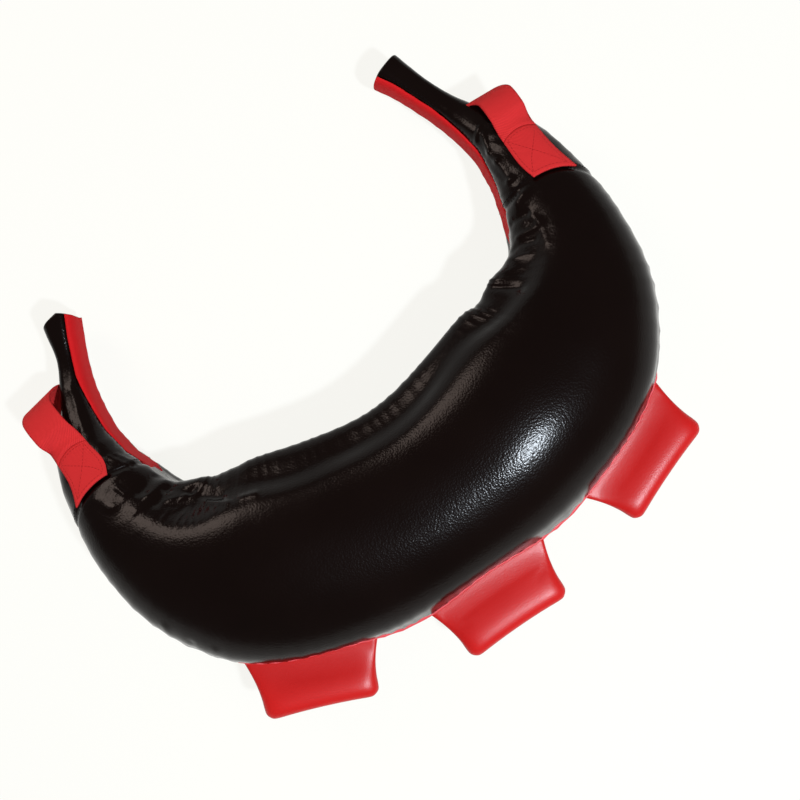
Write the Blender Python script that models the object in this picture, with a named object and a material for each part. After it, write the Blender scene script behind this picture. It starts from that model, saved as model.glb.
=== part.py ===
"""A bulgarian bag: a crescent of sewn leather panels filled with wadding and sand sacks, with two
stuffed horns, a webbing hand loop by each horn and three stuffed finger grips along its outer seam.

Units are metres and +Z is up. The bag lies on its back: +Y points from the belly to the horns, +X
to the right horn, and the origin is on the floor under the middle of the bag."""

import math

import bmesh
import bpy
import numpy as np
from mathutils import Vector

# Driving sizes of the crescent
shoulder_length = 0.334
horn_rise = 0.382
belly_width = 0.218
belly_thickness = 0.171
floor_settle = 0.0055
handle_width = 0.028
handle_thickness = 0.045
cover_wall = 0.0020
strip_width = 0.038

# Clearances between sewn pieces
seam_gap = 0.0003
layer_gap = 0.0007
neck_clearance = 0.0007

# The necks, where each horn is sewn on, and the horns
neck_radius = 0.074
horn_lift = 0.028
horn_lift_power = 1.5
strip_pinch = 0.007
strip_height_limit_share = 0.86
cap_thickness = 0.0025
tip_corner_reach = 0.0086
side_shift = -0.00134

# Fillings
wadding_thickness = 0.010
sack_spacing_share = 0.018
sack_end_fill_shares = (0.55, 0.90)

# Webbing hand loops
webbing_width = 0.038
webbing_thickness = 0.0024
loop_reach = 0.050
loop_swing_radius = 0.036
sewn_clearance = 0.0010
sewn_gap = 0.0005
loop_lift = 0.0008
loop_roundness_power = 0.8
loop_root_rows = 3
loop_sweep_across_shares = (-0.75, 0.75)
loop_sweep_start_share = 0.86

# Finger grips
grip_root_width = 0.146
grip_outer_width = 0.112
grip_depths = {"left": 0.047, "middle": 0.055, "right": 0.050}
grip_roll_radius = 0.0125
grip_leather = 0.0018
grip_ply_gap = 0.0006
grip_fold_offset = 0.0045
grip_pinch_radius = 0.0055
grip_pinch_power = 7
band_thickness = 0.0030
band_proud = 0.0045

# The crescent's middle line: share of the way to a tip, then shares of shoulder_length and horn_rise
right_line_shares = (
    (0.164, 0.287, 0.027),
    (0.352, 0.596, 0.132),
    (0.440, 0.712, 0.222),
    (0.548, 0.794, 0.364),
    (0.632, 0.818, 0.496),
    (0.695, 0.822, 0.594),
    (0.745, 0.810, 0.670),
    (0.800, 0.774, 0.748),
    (0.860, 0.733, 0.832),
    (0.920, 0.692, 0.918),
    (1.000, 0.645, 1.024),
)
left_line_shares = (
    (0.164, 0.287, 0.027),
    (0.352, 0.596, 0.132),
    (0.440, 0.708, 0.220),
    (0.548, 0.786, 0.354),
    (0.632, 0.808, 0.478),
    (0.695, 0.814, 0.558),
    (0.745, 0.804, 0.626),
    (0.800, 0.775, 0.698),
    (0.860, 0.743, 0.780),
    (0.920, 0.710, 0.858),
    (1.000, 0.666, 0.956),
)

# How far the section has swollen from the handle's size to the belly's, along the way to a tip
swell_place_shares = (0.0, 0.164, 0.300, 0.352, 0.440, 0.548, 0.632, 0.695, 0.745, 0.800, 0.860, 0.920, 1.0)
width_swell_shares = (0.956, 1.0, 0.985, 0.925, 0.735, 0.505, 0.370, 0.275, 0.205, 0.085, 0.015, 0.0, 0.028)
thickness_swell_shares = (1.0, 1.0, 1.0, 0.985, 0.900, 0.730, 0.560, 0.430, 0.310, 0.160, 0.040, 0.0, 0.030)
belly_squareness_power = 2.25
handle_squareness_power = 3.4

# Places along the crescent, as shares of the way to a tip
neck_share = 0.530
neck_ring_shares = (0.25, 0.50, 0.75)
drawn_in_share = 0.75
body_row_shares = (0.0, 0.048, 0.096, 0.144, 0.192, 0.240, 0.288, 0.336, 0.384, 0.432, 0.480, 0.525, 0.560)
body_end_blend_shares = (0.5, 1.0)
horn_fixed_share = 0.735
horn_start_blend_shares = (0.0, 0.5)
horn_row_shares = (0.735, 0.775, 0.815, 0.860, 0.905, 0.955, 1.0)
cut_search_shares = (0.56, 0.80)
band_end_share = 0.374
band_taper_share = 0.030
band_room_share = 0.060
loop_place_shares = {"left": 0.688, "right": 0.683}
loop_offset_shares = {"left": 0.03, "right": 0.11}
sewn_end_degrees = {"left": -12.0, "right": -7.0}
loop_swing_degrees = {"left": 22.0, "right": 17.0}
grip_place_shares = {"left": -0.270, "middle": 0.0, "right": 0.270}
grip_reach_share = 0.20
skin_search_shares = (0.30, 0.985)
skin_edge_share = 0.985
sack_row_numbers = {"left": (-12, -5), "middle": (-4, 4), "right": (5, 12)}
# Places along a grip's foam roll, as shares of its half length, and how full the roll is there
core_end_shares = ((0.90, 0.45), (0.85, 0.80), (0.75, 0.95), (0.40, 0.95))

# How finely each surface is divided
cover_columns = 9
strip_columns = 4
webbing_columns = 6
loop_rows = 18
sewn_rows = 8
grip_rows = 10
roll_columns = 14
root_columns = 3
core_columns = 10
band_rows = 78
sweep_columns = 13
sweep_rows = 9
search_steps = 34
sharp_edge_degrees = 35.0

SIDES = {"left": -1, "right": 1}
UP = Vector((0.0, 0.0, 1.0))


def clear_scene():
    for leftover in list(bpy.data.objects):
        bpy.data.objects.remove(leftover, do_unlink=True)


def make_material(name, colour, roughness, metallic=0.0):
    material = bpy.data.materials.new(name)
    material.use_nodes = True
    shader = material.node_tree.nodes["Principled BSDF"]
    shader.inputs["Base Color"].default_value = (*colour, 1.0)
    shader.inputs["Roughness"].default_value = roughness
    shader.inputs["Metallic"].default_value = metallic
    material.diffuse_color = (*colour, 1.0)
    return material


def smooth_curve(places, values):
    """A smooth curve through the values given at the places."""
    places = np.array(places)
    values = np.array(values)
    slopes = np.gradient(values, places)

    def value_at(place):
        place = min(max(place, places[0]), places[-1])
        after = min(int(np.searchsorted(places, place, side="right")), len(places) - 1)
        before = after - 1
        span = places[after] - places[before]
        share = (place - places[before]) / span
        square = share * share
        cube = square * share
        start_weight = 2 * cube - 3 * square + 1
        start_slope_weight = cube - 2 * square + share
        end_weight = 3 * square - 2 * cube
        end_slope_weight = cube - square
        return float(
            start_weight * values[before]
            + start_slope_weight * span * slopes[before]
            + end_weight * values[after]
            + end_slope_weight * span * slopes[after]
        )

    return value_at


def both_ways(side_shares, middle, mirror):
    """One table from the left tip to the right tip, from a table for each half."""
    left, right = side_shares
    return [mirror * value for value in reversed(left)] + [middle] + list(right)


line_columns = [[row[0] for row in table] for table in (left_line_shares, right_line_shares)]
line_places = both_ways(line_columns, 0.0, -1)
line_x = smooth_curve(
    line_places,
    both_ways(([row[1] for row in left_line_shares], [row[1] for row in right_line_shares]), 0.0, -1),
)
line_y = smooth_curve(
    line_places,
    both_ways(([row[2] for row in left_line_shares], [row[2] for row in right_line_shares]), 0.0, 1),
)
swell_places = both_ways((swell_place_shares[1:], swell_place_shares[1:]), 0.0, -1)
width_swell = smooth_curve(
    swell_places, both_ways((width_swell_shares[1:], width_swell_shares[1:]), width_swell_shares[0], 1)
)
thickness_swell = smooth_curve(
    swell_places,
    both_ways((thickness_swell_shares[1:], thickness_swell_shares[1:]), thickness_swell_shares[0], 1),
)


def half_width(place):
    return (handle_width + (belly_width - handle_width) * width_swell(place)) / 2


def half_thickness(place):
    return (handle_thickness + (belly_thickness - handle_thickness) * thickness_swell(place)) / 2


def squareness(place):
    swell = min(max(thickness_swell(place), 0.0), 1.0)
    return handle_squareness_power + (belly_squareness_power - handle_squareness_power) * swell


def rest_height(place):
    """The height of the side seam: the belly lies on its back, and the stiff horns rise a little."""
    swell = min(max(thickness_swell(place), 0.0), 1.0)
    return half_thickness(place) - floor_settle + horn_lift * (1 - swell) ** horn_lift_power


def middle_line(place):
    across = side_shift + shoulder_length * line_x(place)
    return Vector((across, forward_shift + horn_rise * line_y(place), 0.0))


def heading(place):
    """The direction along the crescent towards the right tip."""
    step_share = 0.004
    return (middle_line(place + step_share) - middle_line(place - step_share)).normalized()


def clamped_heading(place):
    edge_share = 0.99
    return heading(min(max(place, -edge_share), edge_share))


def outward(place):
    along = clamped_heading(place)
    return Vector((along.y, -along.x, 0.0))


def section_reach(place, turn, depth):
    """How far the skin lies across and up from the section's middle, at a turn from the outer seam."""
    across_size = half_width(place) - depth
    up_size = half_thickness(place) - depth
    power = squareness(place)
    across = abs(math.cos(turn) / across_size) ** power
    up = abs(math.sin(turn) / up_size) ** power
    reach = (across + up) ** (-1 / power)
    return reach * math.cos(turn), reach * math.sin(turn)


def skin_point(place, turn, depth, fill=1.0):
    across, up = section_reach(place, turn, depth)
    if across < 0:
        swell = min(max(thickness_swell(place), 0.0), 1.0)
        inner_share = across / (half_width(place) - depth)
        across += strip_pinch * swell * inner_share**2 * math.exp(-((up / strip_width) ** 2))
    flat = middle_line(place) + outward(place) * across * fill
    height = max(rest_height(place) + up * fill, depth)
    return Vector((flat.x, flat.y, height))


def seam_turn(place, depth):
    """Where a cover's outer edge runs: beside the other cover, or beside the grip band."""
    into_band = (band_end_share + band_room_share - abs(place)) / band_taper_share
    band_part = min(max(into_band, 0.0), 1.0)
    lift = seam_gap / 2 + (band_thickness / 2 + seam_gap / 2) * band_part
    return math.atan2(lift, half_width(place) - depth)


def strip_turn(place, depth, gap):
    """Where the red strip ends, measured from the middle of the inner side."""
    across_size = half_width(place) - depth
    up_size = half_thickness(place) - depth
    power = squareness(place)
    edge_share = min((strip_width / 2 - gap) / up_size, strip_height_limit_share)
    across = across_size * (1 - edge_share**power) ** (1 / power)
    return math.atan2(edge_share * up_size, across)


def front_turn(place, share, depth):
    start = seam_turn(place, depth)
    end = math.pi - strip_turn(place, depth, 0.0)
    return start + (end - start) * share


def back_turn(place, share, depth):
    return -front_turn(place, share, depth)


def gusset_turn(place, share, depth):
    half = strip_turn(place, depth, seam_gap)
    return math.pi - half + 2 * half * share


def even_shares(count):
    return [index / (count - 1) for index in range(count)]


def full_ring():
    """The whole way round the section, divided as the covers and the strip are."""
    front = [(front_turn, share) for share in even_shares(cover_columns)]
    inner = [(gusset_turn, share) for share in even_shares(strip_columns)[1:-1]]
    back = [(back_turn, share) for share in reversed(even_shares(cover_columns))]
    return front + inner + back


def panel_point(panel, place, share, depth, fill=1.0):
    return skin_point(place, panel(place, share, depth), depth, fill)


def neck_hinge(side):
    return middle_line(SIDES[side] * neck_share)


def neck_cut(panel, share, depth, side, radius, fill=1.0):
    """The place along the crescent where this line of the skin crosses the neck's round seam."""
    near, far = cut_search_shares
    centre = neck_hinge(side)
    for _ in range(search_steps):
        middle = (near + far) / 2
        point = panel_point(panel, SIDES[side] * middle, share, depth, fill)
        if (Vector((point.x, point.y, 0.0)) - centre).length < radius:
            near = middle
        else:
            far = middle
    return near


def body_places(panel, share, depth):
    """Places of the body's rows along one line of the skin, from the left neck to the right."""
    halves = {}
    for side in SIDES:
        cut = neck_cut(panel, share, depth, side, neck_radius)
        last = body_row_shares[-1]
        halves[side] = [last + (cut - last) * blend for blend in body_end_blend_shares]
    left = [-place for place in reversed(halves["left"])]
    fixed = [-place for place in reversed(body_row_shares[1:])] + list(body_row_shares)
    return left + fixed + halves["right"]


def horn_places(panel, share, depth, side, more_clearance=0.0):
    """Places of a horn's rows along one line of the skin, from the neck to the tip."""
    cut = neck_cut(panel, share, depth, side, neck_radius + neck_clearance + more_clearance)
    start = [cut + (horn_fixed_share - cut) * blend for blend in horn_start_blend_shares]
    return [SIDES[side] * place for place in start + list(horn_row_shares)]


def panel_sections(panel, columns, places_of):
    """Thin closed sections of a sewn panel: its outer skin one way and its inner skin back."""
    shares = even_shares(columns)
    outer = [
        [panel_point(panel, place, share, 0.0) for place in places_of(panel, share, 0.0)] for share in shares
    ]
    inner = [
        [panel_point(panel, place, share, cover_wall) for place in places_of(panel, share, cover_wall)]
        for share in shares
    ]
    lines = outer + inner[::-1]
    return [[line[row] for line in lines] for row in range(len(lines[0]))]


def loft(name, sections, material, thin=True):
    """Extrudes the first section to each next one, so that the piece is one closed solid."""
    mesh = bmesh.new()
    first = mesh.faces.new([mesh.verts.new(point) for point in sections[0]])
    first_corners = list(first.verts)
    face = first
    for section in sections[1:]:
        before = [vertex.co.copy() for vertex in face.verts]
        extruded = bmesh.ops.extrude_face_region(mesh, geom=[face])["geom"]
        if face is not first and face.is_valid:
            mesh.faces.remove(face)
        face = next(item for item in extruded if isinstance(item, bmesh.types.BMFace))
        order = [(index + match_shift(face, before)) % len(section) for index in range(len(section))]
        corners = dict(zip(order, face.verts))
        for index, vertex in corners.items():
            vertex.co = section[index]
    if thin:
        split_end(first_corners)
        split_end([corners[index] for index in sorted(corners)])
    return finish(name, mesh, material)


def split_end(corners):
    """Divides the end of a thin wall straight across, from each outer corner to the inner one."""
    half = len(corners) // 2
    for near, far in zip(corners[1 : half - 1], corners[::-1][1 : half - 1]):
        face = next(face for face in near.link_faces if far in face.verts)
        bmesh.utils.face_split(face, near, far)


def match_shift(face, before):
    """How many corners the new face's first corner lies on from the old face's."""
    first = face.verts[0].co
    distances = [(first - corner).length for corner in before]
    return distances.index(min(distances))


def finish(name, mesh, material):
    """Faces split along their shorter diagonal, so that layers that follow each other fold alike."""
    bmesh.ops.triangulate(mesh, faces=mesh.faces[:], quad_method="SHORT_EDGE", ngon_method="BEAUTY")
    bmesh.ops.recalc_face_normals(mesh, faces=mesh.faces[:])
    data = bpy.data.meshes.new(name)
    mesh.to_mesh(data)
    mesh.free()
    data.shade_smooth()
    data.set_sharp_from_angle(angle=math.radians(sharp_edge_degrees))
    data.materials.append(material)
    piece = bpy.data.objects.new(name, data)
    bpy.context.scene.collection.objects.link(piece)
    return piece


def move_origin(piece, origin):
    """Puts a moving piece's origin on its joint's axis, with the piece where it was."""
    for vertex in piece.data.vertices:
        vertex.co -= origin
    piece.location = origin


# The body


def make_body_covers(leather):
    loft("front_cover", panel_sections(front_turn, cover_columns, body_places), leather)
    loft("back_cover", panel_sections(back_turn, cover_columns, body_places), leather)


def make_inner_gusset(red_leather):
    loft("inner_gusset", panel_sections(gusset_turn, strip_columns, body_places), red_leather)


def wadding_depth():
    return cover_wall + layer_gap


def sack_depth():
    return wadding_depth() + wadding_thickness + layer_gap


def make_wadding(wool):
    """A sleeve of wadding: an outer ring and an inner ring, extruded together from neck to neck."""
    ring = full_ring()
    outer_depth = wadding_depth()
    inner_depth = outer_depth + wadding_thickness
    outer, inner = [
        [
            [panel_point(panel, place, share, depth) for place in body_places(panel, share, depth)]
            for panel, share in ring
        ]
        for depth in (outer_depth, inner_depth)
    ]
    opening = outer + inner[::-1]
    sections = [[line[row] for line in opening] for row in range(len(opening[0]))]
    loft("wadding_sleeve", sections, wool)


def make_sand_sacks(sackcloth):
    """Three sacks end to end, each with rounded ends and a little room between them."""
    ring = full_ring()
    depth = sack_depth()
    for name, (first, last) in sack_row_numbers.items():
        rows = sack_rows(first, last)
        sections = [
            [panel_point(panel, place, share, depth, fill) for panel, share in ring] for place, fill in rows
        ]
        loft("sand_sack_" + name, sections, sackcloth, thin=False)


def sack_rows(first, last):
    """Places and fills of a sack's rows: drawn in at the ends, full between them."""
    rows = [(math.copysign(body_row_shares[abs(index)], index), 1.0) for index in range(first, last + 1)]
    before, after = [], []
    for step, fill in enumerate(sack_end_fill_shares):
        beyond = sack_spacing_share * (1 - step / len(sack_end_fill_shares))
        before.append((rows[0][0] - beyond, fill))
        after.insert(0, (rows[-1][0] + beyond, fill))
    return before + rows + after


def make_neck_wool(wool, side):
    """A plug of wool between the last sand sack and the neck seam, rounded to that seam."""
    ring = full_ring()
    depth = sack_depth() + layer_gap
    sign = SIDES[side]
    last = body_row_shares[-1]
    cuts = [neck_cut(panel, share, depth, side, neck_radius) for panel, share in ring]
    middle = [sign * (last + (cut - last) * body_end_blend_shares[0]) for cut in cuts]
    start = sign * (last + 2 * sack_spacing_share)
    sections = [[panel_point(panel, start, share, depth, drawn_in_share) for panel, share in ring]]
    for places in (middle, [sign * cut for cut in cuts]):
        section = []
        for (panel, share), place in zip(ring, places):
            section.append(panel_point(panel, place, share, depth))
        sections.append(section)
    sections += neck_end(ring, depth, side, neck_radius)[::-1]
    loft("neck_wool_" + side, sections, wool, thin=False)


def neck_end(ring, depth, side, radius):
    """Rings that close a solid filling's end on the neck's round seam, from its middle outwards."""
    sections = []
    for fill in neck_ring_shares:
        section = []
        for panel, share in ring:
            place = SIDES[side] * neck_cut(panel, share, depth, side, radius, fill)
            section.append(panel_point(panel, place, share, depth, fill))
        sections.append(section)
    return sections


# The horns


def make_horn(side, leather, red_leather, wool):
    def places(panel, share, depth):
        return horn_places(panel, share, depth, side)

    hinge = neck_hinge(side)
    pieces = [
        loft("horn_front_" + side, panel_sections(front_turn, cover_columns, places), leather),
        loft("horn_back_" + side, panel_sections(back_turn, cover_columns, places), leather),
        loft("horn_strip_" + side, panel_sections(gusset_turn, strip_columns, places), red_leather),
        make_horn_core(side, wool),
        make_horn_cap(side, leather),
    ]
    for piece in pieces:
        move_origin(piece, hinge)


def make_horn_core(side, wool):
    """The horn's firm stuffing, rounded to the neck seam at its thick end."""
    ring = full_ring()
    depth = wadding_depth() + layer_gap
    lines = []
    for panel, share in ring:
        places = horn_places(panel, share, depth, side, layer_gap)
        lines.append([panel_point(panel, place, share, depth) for place in places])
    sections = neck_end(ring, depth, side, neck_radius + neck_clearance + layer_gap)
    sections += [[line[row] for line in lines] for row in range(len(lines[0]))]
    return loft("horn_core_" + side, sections, wool, thin=False)


def make_horn_cap(side, leather):
    """The flat leather end that closes a handle's tip."""
    ring = full_ring()
    sign = SIDES[side]
    along = clamped_heading(sign) * sign
    rim = [panel_point(panel, sign, share, 0.0) for panel, share in ring]
    distances = (seam_gap, seam_gap + cap_thickness)
    sections = [[point + along * distance for point in rim] for distance in distances]
    return loft("horn_cap_" + side, sections, leather, thin=False)


# The webbing loops


def skin_height(spot, side, face):
    """The height of the front (face 1) or back (face -1) skin over a spot in plan."""
    near, far = skin_search_shares
    for _ in range(search_steps):
        middle = (near + far) / 2
        offset = spot - middle_line(SIDES[side] * middle)
        if offset.dot(clamped_heading(SIDES[side] * middle)) * SIDES[side] > 0:
            near = middle
        else:
            far = middle
    place = SIDES[side] * near
    across = (spot - middle_line(place)).dot(outward(place))
    across_share = min(abs(across) / half_width(place), skin_edge_share)
    power = squareness(place)
    up = half_thickness(place) * (1 - across_share**power) ** (1 / power)
    return rest_height(place) + face * up


def loop_frame(side, swing_degrees=0.0):
    """The swing axis of a loop in plan, its width direction and its length direction."""
    sign = SIDES[side]
    place = sign * loop_place_shares[side]
    axis = middle_line(place) + outward(place) * half_width(place) * loop_offset_shares[side]
    along = clamped_heading(place) * sign
    splay = math.radians(sewn_end_degrees[side] + swing_degrees)
    length_way = along * math.cos(splay) + outward(place) * math.sin(splay)
    width_way = Vector((length_way.y, -length_way.x, 0.0)) * sign
    return axis, width_way, length_way


def swept_height(side, face):
    """The highest (or lowest) skin that the loop's band passes over as it swings."""
    axis, width_way, length_way = loop_frame(side, loop_swing_degrees[side])
    heights = []
    start = loop_swing_radius * loop_sweep_start_share
    for across_share in np.linspace(*loop_sweep_across_shares, sweep_columns):
        for along_share in np.linspace(0.0, 1.0, sweep_rows):
            spot = axis + width_way * webbing_width * across_share
            spot = spot + length_way * (start + loop_reach * along_share)
            heights.append(face * skin_height(spot, side, face))
    return face * max(heights)


def make_loop_strap(side, webbing):
    """The free part of a hand loop: a flat band that leaves the front, turns over and joins the back."""
    axis, width_way, length_way = loop_frame(side, loop_swing_degrees[side])
    base = webbing_thickness / 2 + loop_lift
    front_height = swept_height(side, 1) + base
    back_height = swept_height(side, -1) - base
    middle_height = (front_height + back_height) / 2
    half_height = (front_height - back_height) / 2
    strap_axis = Vector((axis.x, axis.y, middle_height))
    sections = []
    for step in range(loop_rows + 1):
        share = step / loop_rows
        turn = math.pi / 2 - math.pi * share
        along = loop_reach * abs(math.cos(turn)) ** loop_roundness_power
        lift = half_height * math.copysign(abs(math.sin(turn)) ** loop_roundness_power, math.sin(turn))
        normal = Vector((half_height * math.cos(turn), loop_reach * math.sin(turn))).normalized()
        root_part = 1 - min(min(share, 1 - share) * loop_rows / loop_root_rows, 1.0)
        sections.append(webbing_section(strap_axis, width_way, length_way, (along, lift), normal, root_part))
    strap = loft("loop_strap_" + side, sections, webbing)
    move_origin(strap, strap_axis)


def webbing_section(axis, width_way, length_way, spot, normal, root_part):
    """A rectangle across the band, drawn back to the round end of the sewn patch near its roots."""
    radius = loop_swing_radius + neck_clearance
    rows = {1: [], -1: []}
    for face in rows:
        offset = normal * face * webbing_thickness / 2
        for across_share in np.linspace(-0.5, 0.5, webbing_columns):
            across = webbing_width * across_share
            root = math.sqrt(radius**2 - across**2)
            along = radius + (root - radius) * root_part + spot[0] + offset.x
            rows[face].append(axis + width_way * across + length_way * along + UP * (spot[1] + offset.y))
    return rows[1] + rows[-1][::-1]


def seam_distance(spot, way, side):
    """How far along a way from a spot the webbing runs into the neck seam."""
    offset = spot - neck_hinge(side)
    radius = neck_radius + neck_clearance + sewn_clearance
    toward = offset.dot(way)
    return math.sqrt(radius**2 - offset.length_squared + toward**2) - toward


def make_sewn_end(side, face, webbing):
    """An end of the webbing, laid on the skin and rounded about the loop's swing axis."""
    axis, width_way, length_way = loop_frame(side)
    sections = []
    for across_share in np.linspace(-0.5, 0.5, webbing_columns + 1):
        across = webbing_width * across_share
        end = math.sqrt(loop_swing_radius**2 - across**2)
        start = seam_distance(axis + width_way * across, length_way, side)
        near, away = [], []
        for row in range(sewn_rows + 1):
            along = start + (end - start) * row / sewn_rows
            spot = axis + width_way * across + length_way * along
            height = skin_height(spot, side, face) + face * sewn_gap
            near.append(spot + UP * height)
            away.append(spot + UP * (height + face * webbing_thickness))
        sections.append(near + away[::-1])
    name = "front" if face > 0 else "back"
    end_piece = loft(f"loop_{name}_end_{side}", sections, webbing)
    move_origin(end_piece, neck_hinge(side))


# The finger grips and their band


def grip_frame(name):
    """The fold line of a grip: its middle, its direction along the seam and its direction outward."""
    place = grip_place_shares[name]
    out = outward(place)
    fold = middle_line(place) + out * (half_width(place) + grip_fold_offset)
    return Vector((fold.x, fold.y, rest_height(place))), clamped_heading(place), out


def fold_distance(place, name):
    """How far out along the seam's outward way the grip's fold line lies."""
    fold, along, out = grip_frame(name)
    start = middle_line(place)
    way = outward(place)
    distance = (Vector((fold.x, fold.y, 0.0)) - start).dot(out) / way.dot(out)
    landing = start + way * distance
    return distance, abs((landing - fold).dot(along))


def band_edge(place):
    """How far out the band's outer edge lies: a little proud of the skin, or up to a grip's fold line."""
    edge = half_width(place) + band_proud
    for name in grip_place_shares:
        distance, beside = fold_distance(place, name)
        if abs(place - grip_place_shares[name]) < grip_reach_share and beside < grip_root_width / 2:
            edge = distance - grip_ply_gap / 2 - grip_leather - seam_gap
    return edge


def make_grip_band(red_leather):
    """The red band held in the outer seam, which reaches out to each grip's fold line."""
    sections = []
    half = UP * band_thickness / 2
    for step in range(band_rows + 1):
        place = band_end_share * (2 * step / band_rows - 1)
        base = middle_line(place) + UP * rest_height(place)
        near = base + outward(place) * (half_width(place) - cover_wall)
        far = base + outward(place) * band_edge(place)
        sections.append([near + half, far + half, far - half, near - half])
    loft("grip_band", sections, red_leather)


def grip_outline(depth, roll_radius):
    """A folded leather sheet seen from its end, as (out, up) points: top ply, roll, bottom ply, and back."""
    ply_top = grip_ply_gap / 2 + grip_leather
    ply_low = grip_ply_gap / 2
    roll_centre = depth - roll_radius
    outer, inner = [], []
    inner_radius = roll_radius - grip_leather
    outer_start = math.pi - math.asin(min(ply_top / roll_radius, 1.0))
    inner_start = math.pi - math.asin(min(ply_low / inner_radius, 1.0))
    for step in range(roll_columns + 1):
        share = 1 - 2 * step / roll_columns
        outer_turn = outer_start * share
        inner_turn = inner_start * share
        outer.append((roll_centre + roll_radius * math.cos(outer_turn), roll_radius * math.sin(outer_turn)))
        inner.append((roll_centre + inner_radius * math.cos(inner_turn), inner_radius * math.sin(inner_turn)))
    top_root = []
    for step in range(root_columns + 1):
        turn = math.pi / 2 + (math.pi / 2 - math.asin(ply_low / ply_top)) * step / root_columns
        top_root.append((ply_top * math.cos(turn), ply_top * math.sin(turn)))
    bottom_root = [(out, -up) for out, up in reversed(top_root)]
    web_middle = roll_centre / 2
    return (
        [(web_middle, ply_low)]
        + list(reversed(top_root))
        + [(web_middle, ply_top)]
        + outer
        + [(web_middle, -ply_top)]
        + list(reversed(bottom_root))
        + [(web_middle, -ply_low)]
        + inner[::-1]
    )


def grip_point(name, share, out, up):
    fold, along, way = grip_frame(name)
    half = (grip_root_width + (grip_outer_width - grip_root_width) * max(out, 0.0) / grip_depths[name]) / 2
    return fold + along * half * share + way * out + UP * up


def roll_radius_at(share):
    """The roll is full along its middle and pinched at its two ends."""
    end_part = abs(share) ** grip_pinch_power
    return grip_roll_radius + (grip_pinch_radius - grip_roll_radius) * end_part


def make_grip(name, red_leather, foam):
    sections = []
    for step in range(grip_rows + 1):
        share = math.sin(math.pi * (step / grip_rows - 0.5))
        outline = grip_outline(grip_depths[name], roll_radius_at(share))
        sections.append([grip_point(name, share, out, up) for out, up in outline])
    sleeve = loft("grip_sleeve_" + name, sections, red_leather, thin=False)
    core = make_grip_core(name, foam)
    for piece in (sleeve, core):
        move_origin(piece, grip_frame(name)[0])


def make_grip_core(name, foam):
    """The foam roll inside a grip, with rounded ends."""
    sections = []
    rows = [(-place, size) for place, size in core_end_shares]
    rows += [(place, size) for place, size in reversed(core_end_shares)]
    for place, size in rows:
        ring = []
        radius = (roll_radius_at(place) - grip_leather - layer_gap) * size
        for step in range(core_columns):
            turn = 2 * math.pi * step / core_columns
            out = grip_depths[name] - roll_radius_at(place) + radius * math.cos(turn)
            ring.append(grip_point(name, place, out, radius * math.sin(turn)))
        sections.append(ring)
    return loft("grip_core_" + name, sections, foam, thin=False)


def front_reach():
    """How far the middle grip and the higher horn reach either way from the belly's middle line."""
    belly_side = half_width(0.0) + grip_fold_offset + grip_depths["middle"]
    tip_rise = max(horn_rise * right_line_shares[-1][2], horn_rise * left_line_shares[-1][2])
    return belly_side, tip_rise + tip_corner_reach


forward_shift = 0.0
belly_side, horn_side = front_reach()
forward_shift = (belly_side - horn_side) / 2


def main():
    clear_scene()
    black_leather = make_material("black_leather", (0.012, 0.009, 0.010), 0.38)
    red_leather = make_material("red_leather", (0.56, 0.016, 0.018), 0.45)
    red_webbing = make_material("red_webbing", (0.66, 0.024, 0.030), 0.80)
    wool = make_material("stuffing_wool", (0.62, 0.58, 0.50), 0.95)
    sackcloth = make_material("sand_sackcloth", (0.42, 0.34, 0.24), 0.90)
    foam = make_material("grip_foam", (0.10, 0.10, 0.11), 0.90)
    make_body_covers(black_leather)
    make_inner_gusset(red_leather)
    make_wadding(wool)
    make_sand_sacks(sackcloth)
    make_grip_band(red_leather)
    for side in SIDES:
        make_neck_wool(wool, side)
        make_horn(side, black_leather, red_leather, wool)
        make_loop_strap(side, red_webbing)
        for face in (1, -1):
            make_sewn_end(side, face, red_webbing)
    for name in grip_place_shares:
        make_grip(name, red_leather, foam)


main()
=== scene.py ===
import math

import bmesh
import bpy
import numpy as np
from mathutils import Matrix, Vector, noise


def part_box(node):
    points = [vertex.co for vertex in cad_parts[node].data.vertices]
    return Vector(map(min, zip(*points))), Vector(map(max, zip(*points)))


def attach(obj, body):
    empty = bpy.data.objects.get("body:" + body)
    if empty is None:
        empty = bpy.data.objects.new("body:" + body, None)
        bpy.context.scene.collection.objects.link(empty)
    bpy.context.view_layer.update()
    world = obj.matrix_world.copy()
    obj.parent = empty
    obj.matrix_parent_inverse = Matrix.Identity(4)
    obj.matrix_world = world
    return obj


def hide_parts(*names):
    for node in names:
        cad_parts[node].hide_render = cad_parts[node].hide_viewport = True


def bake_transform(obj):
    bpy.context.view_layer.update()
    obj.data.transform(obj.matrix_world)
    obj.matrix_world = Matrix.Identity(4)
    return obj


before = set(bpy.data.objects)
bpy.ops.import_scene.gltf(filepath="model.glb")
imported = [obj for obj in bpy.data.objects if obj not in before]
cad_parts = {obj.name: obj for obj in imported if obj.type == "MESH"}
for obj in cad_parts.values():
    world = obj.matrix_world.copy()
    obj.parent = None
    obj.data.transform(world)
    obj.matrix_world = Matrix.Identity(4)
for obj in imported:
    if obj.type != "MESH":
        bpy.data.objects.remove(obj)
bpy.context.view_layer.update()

# The crescent, with the same sizes as the CAD source
shoulder_length = 0.334
horn_rise = 0.382
forward_shift = -0.117724
side_shift = -0.00134
belly_width = 0.218
belly_thickness = 0.171
floor_settle = 0.0055
floor_relief = 0.004
handle_width = 0.028
handle_thickness = 0.045
belly_squareness_power = 2.25
handle_squareness_power = 3.4
strip_width = 0.038
strip_pinch = 0.007
strip_height_limit_share = 0.86
strip_thickness = 0.0014
strip_joint_place = 0.63
neck_share = 0.530
neck_radius = 0.074
horn_lift = 0.028
horn_lift_power = 1.5
band_end_share = 0.374

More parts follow.
